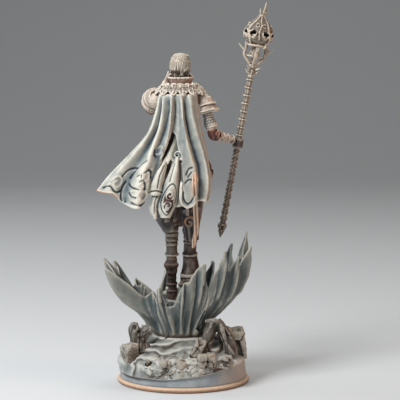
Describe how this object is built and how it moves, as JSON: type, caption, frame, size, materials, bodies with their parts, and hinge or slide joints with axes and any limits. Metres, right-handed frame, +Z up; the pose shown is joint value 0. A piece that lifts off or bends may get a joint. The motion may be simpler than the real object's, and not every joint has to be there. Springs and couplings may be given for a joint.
{
  "type": "painted miniature figure",
  "caption": "Cast display figure of a caped mage with a tall scrollwork staff, hovering on a jet inside a crown of splash blades over a rocky round plinth.",
  "frame": {"origin": "centre of the plinth's flat underside", "axes": "+Z up, +Y the way the mage looks, +X towards the mage's right hand, where the staff is"},
  "size_m": [0.0673, 0.05, 0.1432],
  "materials": {
    "pin_steel": "bare wire, cut to length",
    "plinth_paint": "matt painted resin, blue-grey with a copper rim",
    "ground_paint": "matt painted resin, pale grey with a brown wash",
    "splash_paint": "matt painted resin, teal-grey with pale copper edges",
    "staff_paint": "satin painted resin, warm bone with brown recesses",
    "cape_paint": "matt painted resin, cream ridges and teal valleys",
    "cloth_paint": "matt painted resin, dark grey-brown",
    "leather_paint": "satin painted resin, dark red-brown",
    "hair_paint": "matt painted resin, ivory over brown",
    "skin_paint": "matt painted resin, pale warm",
    "rock_paint": "matt painted resin, grey-beige drybrush",
    "armour_paint": "satin painted resin, grey with copper edges"
  },
  "bodies": {
    "root": {"belt": "leather_paint", "block_front": "rock_paint", "boot_left": "leather_paint", "boot_right": "leather_paint", "boulder_left": "rock_paint", "bracer_left": "armour_paint", "bracer_right": "armour_paint", "buckle": "armour_paint", "cape": "cape_paint", "cape_ribbon": "cape_paint", "cape_tails": "cape_paint", "cape_under": "cape_paint", "chest": "cloth_paint", "clasp": "armour_paint", "coat_left": "cloth_paint", "coat_right": "cloth_paint", "collar": "armour_paint", "crag_right_high": "rock_paint", "crag_right_low": "rock_paint", "elbow_left": "armour_paint", "elbow_right": "armour_paint", "fist_right": "armour_paint", "greave_left": "armour_paint", "greave_right": "armour_paint", "ground": "ground_paint", "hair": "hair_paint", "hand_left": "skin_paint", "head": "skin_paint", "hips": "cloth_paint", "knee_left": "armour_paint", "knee_right": "armour_paint", "main_pin": "pin_steel", "mantle": "armour_paint", "pauldron_left": "armour_paint", "pauldron_right": "armour_paint", "plinth": "plinth_paint", "rocks_back": "rock_paint", "root_arch": "rock_paint", "rubble": "rock_paint", "sash_end": "cloth_paint", "slab_front": "rock_paint", "sleeve_left": "armour_paint", "sleeve_right": "armour_paint", "splash_back": "splash_paint", "splash_front": "splash_paint", "splash_jet": "splash_paint", "splash_left": "splash_paint", "splash_right": "splash_paint", "staff_bulb": "staff_paint", "staff_cage": "staff_paint", "staff_ferrule": "staff_paint", "staff_finial": "staff_paint", "staff_lower_shaft": "staff_paint", "staff_thorn_collar": "staff_paint", "staff_upper_shaft": "staff_paint", "stump_left": "rock_paint", "tabard_front": "cloth_paint", "thigh_left": "cloth_paint", "thigh_right": "cloth_paint"}
  },
  "joints": []
}
